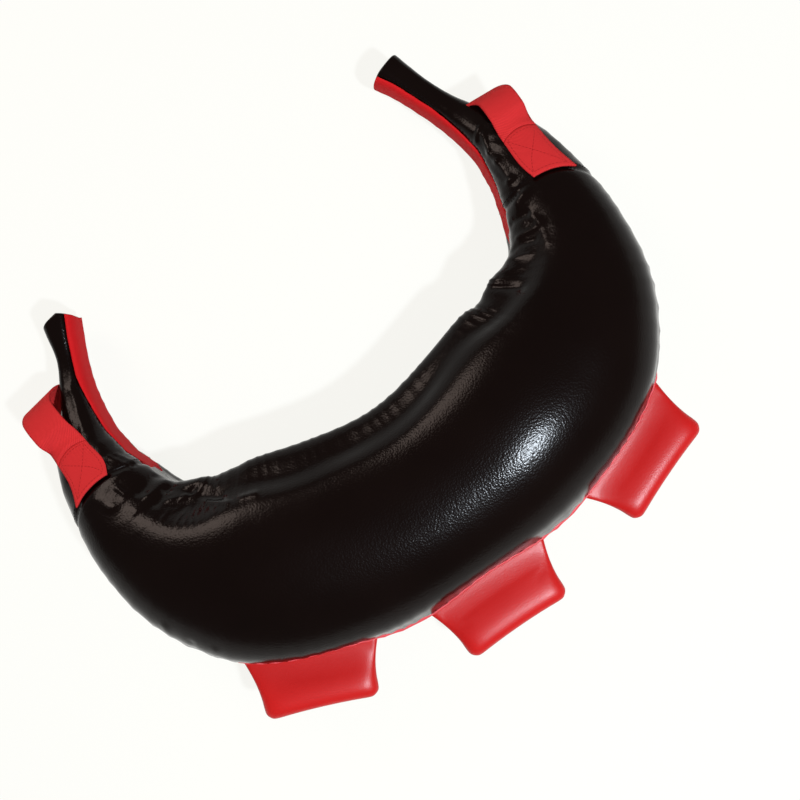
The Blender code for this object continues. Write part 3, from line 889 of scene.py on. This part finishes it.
def bend_horn(piece, side):
    """Bakes a piece of the horn's placement into its mesh."""
    horn_way_place = 0.66
    sign = SIDES[side]
    hinge = Vector(neck_hinge(side))
    way = Vector(heading(sign * horn_way_place)) * sign
    hinge.z = float(rest_height(sign * neck_share))
    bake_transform(piece)


def strip_piece(name, start, end, rows, side=None):
    """The red strip sewn along the inner side, a little proud of the black leather."""
    columns = 22
    stand = 0.0012
    edge_fall_share = 0.05
    wobble_reach_share = 0.35
    hem_sink = 0.0004
    cover_sink = 0.0034
    sink_length = 0.03
    left_sink_place = 0.632
    right_sink_place = 0.60
    wobble_height = 0.0005
    overlap = 0.001

    def spots(across, along):
        place = start + (end - start) * along
        share = across * 2 - 1
        turn = math.pi + share * strip_turn(place, -overlap)
        edge = 1 - np.abs(share)
        proud = stand * (1 - np.exp(-edge / edge_fall_share)) - hem_sink
        wobble = wobble_height * ripple(along_length(place) + 0.3, 0.016, 9.0)
        wobble = wobble * np.exp(-edge / wobble_reach_share)
        sink_place = np.where(place < 0, left_sink_place, right_sink_place)
        sunk = cover_sink * np.clip((sink_place - np.abs(place)) / sink_length, 0.0, 1.0)
        turn = np.where(turn > math.pi, turn - 2 * math.pi, turn)
        points = skin(place, turn, proud + wobble - sunk)
        return shape_tip(points, np.abs(place), turn, side) if side else points

    mesh = grid_mesh(columns, rows, spots, size=(strip_width, abs(end - start) * metres_per_place))
    piece = hand_over(name, mesh, strip_leather)
    apply_modifier(piece, "SOLIDIFY", thickness=strip_thickness, offset=0.0)
    return piece


belly_skin()
wadding()
for side in SIDES:
    horn_skin(side)

inner_strip = strip_piece("inner_strip", -strip_joint_place, strip_joint_place, 360)
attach(inner_strip, "bag")
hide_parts("inner_gusset")
for side, sign in SIDES.items():
    strip = strip_piece("handle_strip_" + side, sign * strip_joint_place, sign * 1.0, 160, side)
    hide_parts("horn_strip_" + side)
    bend_horn(strip, side)


# The filling keeps the CAD's shape, a little smaller in the horns


def dress(node, material):
    """Gives a kept CAD node its better material."""
    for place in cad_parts[node].material_slots:
        place.material = material


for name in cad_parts:
    if name.startswith("sand_sack"):
        dress(name, sackcloth)


def copied_node(node, name, material):
    """A copy of a CAD node's mesh, with its loose triangles merged."""
    mesh = bmesh.new()
    mesh.from_mesh(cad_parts[node].data)
    bmesh.ops.remove_doubles(mesh, verts=mesh.verts[:], dist=0.00001)
    return hand_over(name, mesh, material)


def draw_in(piece, slack):
    """Makes a filling a little smaller all round, so that it stays under its leather."""
    moves = [vertex.normal * slack for vertex in piece.data.vertices]
    for vertex, move in zip(piece.data.vertices, moves):
        vertex.co -= move


for side in SIDES:
    core = copied_node("horn_core_" + side, "horn_filling_" + side, wool)
    draw_in(core, horn_filling_slack)
    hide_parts("horn_core_" + side)
    bend_horn(core, side)


# Stitching


def stitch_row(name, path, ups, sizes, material):
    """A row of thread stitches laid along a path, each a small plump bar."""
    stitch, gap, thickness = sizes
    path = np.array(path, float)
    ups = np.broadcast_to(np.array(ups, float), path.shape)
    steps = np.linalg.norm(np.diff(path, axis=0), axis=1)
    lengths = np.concatenate([[0.0], np.cumsum(steps)])

    def value_at(values, distance):
        return Vector([np.interp(distance, lengths, values[:, axis]) for axis in range(3)])

    half_sizes = Matrix.Diagonal((stitch * 0.56, thickness * 0.5, thickness * 0.42, 1.0))
    mesh = bmesh.new()
    for start in np.arange(gap, lengths[-1] - stitch, stitch + gap):
        first = value_at(path, start)
        last = value_at(path, start + stitch)
        up = value_at(ups, start).normalized()
        ahead = (last - first).normalized()
        beside = up.cross(ahead).normalized()
        up = ahead.cross(beside)
        turned = Matrix((ahead, beside, up)).transposed().to_4x4()
        laid = Matrix.Translation((first + last) / 2) @ turned @ half_sizes
        bmesh.ops.create_uvsphere(mesh, u_segments=6, v_segments=4, radius=1.0, matrix=laid)
    return hand_over(name, mesh, material)


def leather_stitches(name, place, turn, side=None):
    """A row of topstitches along a line on the skin. With a side given, it follows that horn's tip."""
    low = 0.0001
    high = 0.0021
    spots = skin(place, turn, relief(place, turn) + low)
    raised = skin(place, turn, relief(place, turn) + high)
    if side:
        spots = shape_tip(spots, np.abs(place), turn, side)
        raised = shape_tip(raised, np.abs(place), turn, side)
    return stitch_row(name, spots, raised - spots, leather_stitch, black_thread)


def neck_stitches(side):
    """The topstitches on the horn's leather: above the neck seam, and along both edges of its strip."""
    above_seam = 0.0042
    beside_strip = 0.0032
    sign = SIDES[side]
    last_turn = math.pi * 0.86
    turns = np.linspace(-last_turn, last_turn, 420)
    cuts = neck_cut(turns, side, neck_radius + above_seam)
    rows = [(sign * cuts, turns)]
    places = np.linspace(0.64, 0.985, 260)
    for face in (1, -1):
        edge = math.pi - strip_turn(sign * places) - beside_strip / half_width(sign * places)
        rows.append((sign * places, face * edge))
    for number, (place, turn) in enumerate(rows):
        piece = leather_stitches(f"horn_stitches_{side}_{number + 1}", place, turn, side if number else None)
        bend_horn(piece, side)


def belly_stitches():
    """Topstitches on the belly's leather beside its outer seam and beside the inner strip."""
    beside_seam = 0.0042
    beside_strip = 0.0034
    places = np.linspace(-0.555, 0.555, 1400)
    number = 0
    for face in (1, -1):
        for turn in (
            face * beside_seam / half_width(places),
            face * (math.pi - strip_turn(places) - beside_strip / half_width(places)),
        ):
            number += 1
            piece = leather_stitches(f"belly_stitches_{number}", places, turn)
            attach(piece, "bag")


belly_stitches()
for side in SIDES:
    neck_stitches(side)


# The webbing loops


def loop_frame(side, swing_degrees=0.0):
    sign = SIDES[side]
    place = sign * loop_place_shares[side]
    axis = middle_line(place) + outward(place) * half_width(place) * loop_offset_shares[side]
    along = heading(place) * sign
    splay = math.radians(sewn_end_degrees[side] + swing_degrees)
    length_way = along * math.cos(splay) + outward(place) * math.sin(splay)
    width_way = np.array([length_way[1], -length_way[0], 0.0]) * sign
    return axis, width_way, length_way


def skin_height(spots, side, face):
    """Height of the front (face 1) or back (face -1) skin over spots in plan."""
    most_across_share = 0.985
    near = np.full(len(spots), horn_search[0])
    far = np.full(len(spots), horn_search[1])
    for _ in range(search_steps):
        middle = (near + far) / 2
        place = SIDES[side] * middle
        offset = spots - middle_line(place)
        ahead = (offset * heading(place)).sum(axis=-1) * SIDES[side] > 0
        near = np.where(ahead, middle, near)
        far = np.where(ahead, far, middle)
    place = SIDES[side] * near
    across = ((spots - middle_line(place)) * outward(place)).sum(axis=-1)
    share = np.minimum(np.abs(across) / half_width(place), most_across_share)
    power = squareness(place)
    return rest_height(place) + face * half_thickness(place) * (1 - share**power) ** (1 / power)


def band_path(side):
    """The plan of the band's sewn end: from the neck seam it bends sideways towards the free loop."""
    axis, width_way, length_way = loop_frame(side)
    _, loop_width_way, loop_length_way = loop_frame(side, loop_swing_degrees[side])
    seam_gap = 0.0006
    pull_share = 0.45

    def spots(across, along):
        over = webbing_width * (across - 0.5)[:, None]
        base = axis + width_way * over
        offset = base - neck_hinge(side)
        toward = (offset * length_way).sum(axis=1)
        start = np.sqrt((neck_radius + seam_gap) ** 2 - (offset**2).sum(axis=1) + toward**2) - toward
        near = base + length_way * start[:, None]
        reach = np.sqrt(loop_swing_radius**2 - over[:, 0] ** 2)
        far = axis + loop_width_way * over + loop_length_way * reach[:, None]
        share = along[:, None]
        pull = pull_share * length_of(far - near)[:, None]
        near_pull = near + length_way * pull
        far_pull = far - loop_length_way * pull
        return (
            near * (1 - share) ** 3
            + near_pull * 3 * share * (1 - share) ** 2
            + far_pull * 3 * share**2 * (1 - share)
            + far * share**3
        )

    return spots


def sewn_patch(side, face):
    """The end of the webbing, sewn flat on the horn."""
    plan_of = band_path(side)

    def spots(across, along):
        plan = plan_of(across, along)
        lift = webbing_clearance + webbing_thickness / 2
        plan[:, 2] = skin_height(plan, side, face) + face * lift
        return plan

    mesh = grid_mesh(20, 30, spots, size=(webbing_width, 0.054))
    name = "front" if face > 0 else "back"
    piece = hand_over(f"webbing_patch_{name}_{side}", mesh, webbing)
    apply_modifier(piece, "SOLIDIFY", thickness=webbing_thickness, offset=0.0)
    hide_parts(f"loop_{name}_end_{side}")
    bend_horn(piece, side)


def patch_stitches(side, face):
    """The box and cross of thread that holds a webbing end down."""
    plan_of = band_path(side)
    inset = 0.09
    low = 0.07
    high = 0.95
    corners = {
        "box": [(inset, low), (1 - inset, low), (1 - inset, high), (inset, high), (inset, low)],
        "cross_one": [(inset, low), (1 - inset, high)],
        "cross_two": [(1 - inset, low), (inset, high)],
    }
    name = "front" if face > 0 else "back"
    for line, spots in corners.items():
        shares = np.concatenate(
            [np.linspace(start, end, 30) for start, end in zip(np.array(spots[:-1]), np.array(spots[1:]))]
        )
        plan = plan_of(shares[:, 0], shares[:, 1])
        lift = webbing_clearance + webbing_thickness
        plan[:, 2] = skin_height(plan, side, face) + face * lift
        up = np.array([0.0, 0.0, float(face)])
        piece = stitch_row(f"patch_stitches_{name}_{side}_{line}", plan, up, webbing_stitch, red_thread)
        bend_horn(piece, side)


def swept_height(side, face):
    """The highest (or lowest) skin that the loop's band passes over as it swings."""
    axis, width_way, length_way = loop_frame(side, loop_swing_degrees[side])
    wide_share = 0.75
    root_radius_share = 0.86
    across = np.linspace(-wide_share, wide_share, 13)
    along = np.linspace(0.0, 1.0, 9)
    grid = np.array([(a, b) for a in across for b in along])
    spots = axis + width_way * webbing_width * grid[:, :1]
    spots = spots + length_way * (loop_swing_radius * root_radius_share + loop_reach * grid[:, 1:])
    return face * (face * skin_height(spots, side, face)).max()


def loop_strap(side):
    """The free part of a hand loop, which turns over from the front patch to the back one."""
    axis, width_way, length_way = loop_frame(side, loop_swing_degrees[side])
    base = webbing_thickness / 2 + strap_clearance
    front = swept_height(side, 1) + base
    back = swept_height(side, -1) - base
    middle = (front + back) / 2
    half = (front - back) / 2
    roundness_power = 0.8
    root_share = 1 / 6
    laid_share = 0.10

    def spots(across, along):
        over = webbing_width * (across - 0.5)
        turn = math.pi / 2 - math.pi * along
        reach = loop_reach * loop_reach_scales[side] * np.abs(np.cos(turn)) ** roundness_power
        lift = half * np.copysign(np.abs(np.sin(turn)) ** roundness_power, np.sin(turn))
        root = np.sqrt(loop_swing_radius**2 - over**2)
        root_part = 1 - np.minimum(np.minimum(along, 1 - along) / root_share, 1.0)
        start = loop_swing_radius + (root - loop_swing_radius) * root_part
        turned = ease(ramp(along, 0.25, 0.5)) * np.clip((1 - along) / 0.5, 0.0, 1.0)
        veer = -loop_veers[side] * turned
        plan = axis + width_way * (over + veer)[:, None] + length_way * (start + reach)[:, None]
        height = middle + lift
        for face, share in ((1, along), (-1, 1 - along)):
            laid = skin_height(plan, side, face) + face * base
            near = ease(np.clip(1 - share / laid_share, 0.0, 1.0))
            height = height + (laid - height) * near
        plan[:, 2] = height
        return plan

    mesh = grid_mesh(14, 72, spots, size=(webbing_width, 0.19))
    piece = hand_over("webbing_loop_" + side, mesh, webbing)
    apply_modifier(piece, "SOLIDIFY", thickness=webbing_thickness, offset=0.0)
    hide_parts("loop_strap_" + side)
    still = axis + length_way * (loop_swing_radius - strap_bend_before)
    swung = axis + length_way * (loop_swing_radius + strap_bend_after)
    still[2] = swung[2] = middle
    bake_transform(piece)


for side in SIDES:
    for face in (1, -1):
        sewn_patch(side, face)
        patch_stitches(side, face)
    loop_strap(side)


# The finger grips


def grip_frame(name):
    place = grip_place_shares[name]
    out = outward(place)
    fold = middle_line(place) + out * (half_width(place) + grip_fold_offset)
    fold[2] = rest_height(place)
    return fold, heading(place), out


def seam_line(name):
    """How far out of a grip's fold line the belly's outer seam runs, over the distance along the grip."""
    fold, along_way, out_way = grip_frame(name)
    reach_each_way = 0.2
    middle = grip_place_shares[name]
    places = np.linspace(middle - reach_each_way, middle + reach_each_way, 200)
    reach = half_width(places) - outer_press(places)
    seam = middle_line(places) + outward(places) * reach[:, None] - fold
    along = seam @ along_way
    out = seam @ out_way
    height = rest_height(places)
    return lambda a: (np.interp(a, along, out), np.interp(a, along, height))


def inflate(piece, held, pressure, most):
    """Blows the sewn leather up by cloth simulation, with no point moving further than most."""
    pins = piece.vertex_groups.new(name="held")
    pins.add(held, 1.0, "REPLACE")
    before = [vertex.co.copy() for vertex in piece.data.vertices]
    cloth = piece.modifiers.new("cloth", "CLOTH")
    leather_cloth = {
        "quality": 6,
        "mass": 0.25,
        "tension_stiffness": 25.0,
        "compression_stiffness": 12.0,
        "shear_stiffness": 8.0,
        "bending_stiffness": 0.4,
        "use_pressure": True,
        "uniform_pressure_force": pressure,
        "vertex_group_mass": "held",
    }
    for key, value in leather_cloth.items():
        setattr(cloth.settings, key, value)
    cloth.settings.effector_weights.gravity = 0.0
    cloth.collision_settings.use_collision = False
    stage = bpy.context.scene
    for step in range(1, cloth_steps + 1):
        stage.frame_set(step)
    graph = bpy.context.evaluated_depsgraph_get()
    after = [vertex.co.copy() for vertex in piece.evaluated_get(graph).data.vertices]
    piece.modifiers.clear()
    piece.vertex_groups.clear()
    for vertex, start, end in zip(piece.data.vertices, before, after):
        move = end - start
        if move.length > most:
            move *= most / move.length
        vertex.co = start + move
    stage.frame_set(1)


def grip_pad(name):
    """A folded leather flap, stuffed into a roll and held in the belly's outer seam."""
    fold, along_way, out_way = grip_frame(name)
    depth = grip_depths[name] + grip_stretches[name]
    fullness = 0.80
    seam_at = seam_line(name)
    columns = 44
    rows = 76
    ring_shares = np.linspace(0.0, 2.0, columns + 1)

    def spots(across, along):
        share = along * 2 - 1
        ring = ring_shares[np.round(across * columns).astype(int)]
        face = np.where(ring <= 1, 1.0, -1.0)
        run = np.where(ring <= 1, ring, 2 - ring)
        run = 1 - (1 - run) ** 1.25
        half = (grip_root_width + (grip_outer_width - grip_root_width) * run) / 2
        waist = grip_waist * np.sin(math.pi * np.clip(run / 0.75, 0.0, 1.0)) * np.abs(share) ** 3
        ear = grip_ear * hump(run, 0.90, 0.13) * np.abs(share) ** 6
        corner = ramp(run, 0.84, 0.16) ** 2 * np.abs(share) ** 14
        over = (half - waist + ear - grip_corner_width_cut * corner) * share
        root, level = seam_at(over)
        root = root - grip_root_tuck
        bow = 0.0010 * np.abs(share) ** 6 - 0.0020 * (1 - share**2)
        edge = depth + bow - grip_corner_depth_cut * corner
        out = root + (edge - root) * run
        centre = edge - grip_roll_radius * 1.05
        ahead = np.clip((out - centre) / (edge - centre), 0.0, 1.0)
        behind = np.clip((centre - out) / (centre - root), 0.0, 1.0)
        round_front = np.sqrt(np.maximum(1 - ahead**2, 0.0))
        sloping_back = 0.20 + 0.80 * hump(behind, 0.0, 0.48)
        rise = np.where(out > centre, round_front, sloping_back) * grip_roll_radius * fullness
        ends = np.maximum(1 - np.abs(share) ** 9, 0.0) ** 0.6
        hem = 0.0004 * hump(out - root, 0.0055, 0.0028)
        low_web = (grip_web_half + hem) * (1 - np.abs(share) ** 40)
        rise = np.maximum(rise * ends, low_web * (1 - ahead**6)) * np.clip(run / 0.02, 0.0, 1.0)
        points = fold + along_way * over[:, None] + out_way * out[:, None]
        points[:, 2] = level + face * rise
        return points

    mesh = grid_mesh(columns, rows, spots)
    bmesh.ops.remove_doubles(mesh, verts=mesh.verts[:], dist=0.0002)
    piece = hand_over("grip_pad_" + name, mesh, red_leather)
    way = Vector(out_way)
    root = Vector(fold) + way * grip_held_depth
    held = [vertex.index for vertex in piece.data.vertices if (vertex.co - root).dot(way) < 0]
    inflate(piece, held, pressure=grip_pressure, most=grip_most_growth)
    apply_modifier(piece, "SUBSURF", levels=1, render_levels=1)
    piece.data.shade_smooth()
    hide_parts("grip_sleeve_" + name)
    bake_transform(piece)


def seam_band():
    """The narrow red band held in the belly's outer seam, with a soft folded edge."""
    columns = 16
    rows = 420
    stand_out = 0.0062
    tuck = 0.0008
    half_height = 0.0016

    def spots(across, along):
        place = band_end_share * (2 * along - 1)
        turn = 2 * math.pi * across
        taper = np.clip((band_end_share - np.abs(place)) / 0.02, 0.0, 1.0) ** 0.5
        length = along_length(place)
        wave = 0.0006 * ripple(length, 0.019, 31.0)
        seam = half_width(place) - outer_press(place)
        out = seam + (stand_out + wave) * taper * np.cos(turn) - tuck
        points = middle_line(place) + outward(place) * out[:, None]
        points[:, 2] = rest_height(place) + half_height * np.sin(turn) + 0.0004 * ripple(length, 0.027, 33.0)
        return points

    mesh = grid_mesh(columns, rows, spots, closed=True)
    bmesh.ops.holes_fill(mesh, edges=[edge for edge in mesh.edges if edge.is_boundary], sides=0)
    # The band's pinkish colour is a painted highlight, on top of its real shine.
    piece = hand_over("seam_band", mesh, bead_leather_painted_highlight)
    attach(piece, "bag")
    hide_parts("grip_band")


def swept_bead(name, path, radius, material):
    """A thin round bead of leather along a path of points."""
    curve = bpy.data.curves.new(name, "CURVE")
    curve.dimensions = "3D"
    curve.bevel_depth = radius
    curve.bevel_resolution = 2
    spline = curve.splines.new("POLY")
    spline.points.add(len(path) - 1)
    for point, spot in zip(spline.points, path):
        point.co = (*spot, 1.0)
    rope = add_object(name, curve)
    graph = bpy.context.evaluated_depsgraph_get()
    data = bpy.data.meshes.new_from_object(rope.evaluated_get(graph))
    bpy.data.objects.remove(rope)
    data.shade_smooth()
    data.materials.clear()
    data.materials.append(material)
    return add_object(name, data)


def foam_roll(name):
    """The foam inside a grip, pressed smaller by the leather round it."""
    length_share = 0.90
    girth_share = 0.70
    _, along_way, _ = grip_frame(name)
    node = "grip_core_" + name
    way = Vector(along_way)
    piece = copied_node(node, "grip_foam_" + name, foam)
    low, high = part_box(node)
    middle = (Vector(low) + Vector(high)) / 2
    for vertex in piece.data.vertices:
        offset = vertex.co - middle
        ahead = offset.dot(way) * way
        vertex.co = middle + ahead * length_share + (offset - ahead) * girth_share
    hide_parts(node)
    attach(piece, "grip_" + name)


def root_bead(name):
    """The turned leather edge along a grip's root, which catches the light; its lighter pink colour is
    partly a painted highlight, with real shine on top.
    """
    outside_seam = 0.0034
    above_seam = 0.0044
    shorter = 0.007
    bead_radius = 0.0010
    fold, along_way, out_way = grip_frame(name)
    seam_at = seam_line(name)
    over = np.linspace(-0.5, 0.5, 120) * (grip_root_width - shorter)
    root, level = seam_at(over)
    wave = ripple(over + 0.5, 0.016, 21.0)
    out = root + outside_seam + 0.0005 * wave
    path = fold + along_way * over[:, None] + out_way * out[:, None]
    path[:, 2] = level + above_seam + 0.0004 * ripple(over + 0.5, 0.021, 23.0)
    bead = swept_bead("root_bead_" + name, path, bead_radius, bead_leather_painted_highlight)
    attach(bead, "bag")


for name in grip_place_shares:
    grip_pad(name)
    foam_roll(name)
    root_bead(name)
seam_band()


# Floor, light and camera


def seen_directly(nodes, links):
    """1 for rays from the camera and for mirrored and transmitted rays, else 0."""
    path = nodes.new("ShaderNodeLightPath")
    total = path.outputs["Is Camera Ray"]
    for kind in ("Is Glossy Ray", "Is Transmission Ray"):
        total = reckon(nodes, links, "MAXIMUM", total, path.outputs[kind])
    return total


def floor_and_light():
    floor_half_size = 6.0
    below_bag = 0.0005
    glow_share = 0.88
    mesh = bmesh.new()
    bmesh.ops.create_grid(mesh, x_segments=1, y_segments=1, size=floor_half_size)
    bmesh.ops.translate(mesh, verts=mesh.verts[:], vec=(0.0, 0.0, -below_bag))
    material, nodes, links, shader = new_material("pale_floor")
    shader.inputs["Base Color"].default_value = (0.80, 0.79, 0.76, 1.0)
    shader.inputs["Roughness"].default_value = 0.9
    glow = add_node(nodes, "Emission", Color=(1.0, 0.997, 0.955, 1.0))
    share = reckon(nodes, links, "MULTIPLY", seen_directly(nodes, links), glow_share)
    mix_shaders(nodes, links, share, shader.outputs["BSDF"], glow.outputs["Emission"], "Material Output")
    floor = hand_over("floor", mesh, material, smooth=False)
    world = bpy.data.worlds.new("studio")
    bpy.context.scene.world = world
    world.use_nodes = True
    background = world.node_tree.nodes["Background"]
    background.inputs["Color"].default_value = (1.0, 0.95, 0.90, 1.0)
    background.inputs["Strength"].default_value = 0.30
    show_white_backdrop(world.node_tree)
    area_light(
        "key_softbox",
        place=(0.288, -0.747, 1.738),
        target=(0.089, -0.135, 0.16),
        size=0.12,
        power=42.0,
        colour=(0.82, 0.91, 1.0),
    )
    area_light(
        "warm_window",
        place=(-0.505, 1.464, 1.16),
        target=(-0.23, 0.0, 0.14),
        size=0.80,
        power=12.0,
        colour=(1.0, 0.80, 0.70),
    )


def show_white_backdrop(tree):
    """A low white backdrop all round the floor, seen directly and in mirrored and transmitted rays."""
    backdrop_top = 0.24
    backdrop_fade = 0.12
    nodes = tree.nodes
    links = tree.links
    white = add_node(nodes, "Background", Color=(0.985, 0.980, 0.935, 1.0))
    way = nodes.new("ShaderNodeTexCoord")
    parts = nodes.new("ShaderNodeSeparateXYZ")
    links.new(way.outputs["Generated"], parts.inputs["Vector"])
    low = add_node(nodes, "MapRange", From_Min=backdrop_top, From_Max=backdrop_top - backdrop_fade)
    links.new(parts.outputs["Z"], low.inputs["Value"])
    share = reckon(nodes, links, "MULTIPLY", seen_directly(nodes, links), low.outputs["Result"])
    plain = nodes["Background"].outputs["Background"]
    mix_shaders(nodes, links, share, plain, white.outputs["Background"], "World Output")


def area_light(name, place, target, size, power, colour):
    data = bpy.data.lights.new(name, "AREA")
    data.shape = "DISK"
    data.size = size
    data.energy = power
    data.color = colour
    lamp = add_object(name, data)
    lamp.location = place
    lamp.rotation_euler = (Vector(target) - Vector(place)).to_track_quat("-Z", "Y").to_euler()


def camera():
    """The photo's camera, straight above the bag."""
    data = bpy.data.cameras.new("straight_down")
    data.sensor_width = 36.0
    data.lens = 43.7
    data.clip_start = 0.01
    viewer = add_object("straight_down", data)
    viewer.location = (0.0275, -0.0214, 1.080)
    viewer.rotation_euler = (0.0, 0.0, -0.6011)
    bpy.context.scene.camera = viewer


floor_and_light()
camera()
bpy.context.scene.view_settings.view_transform = "Standard"
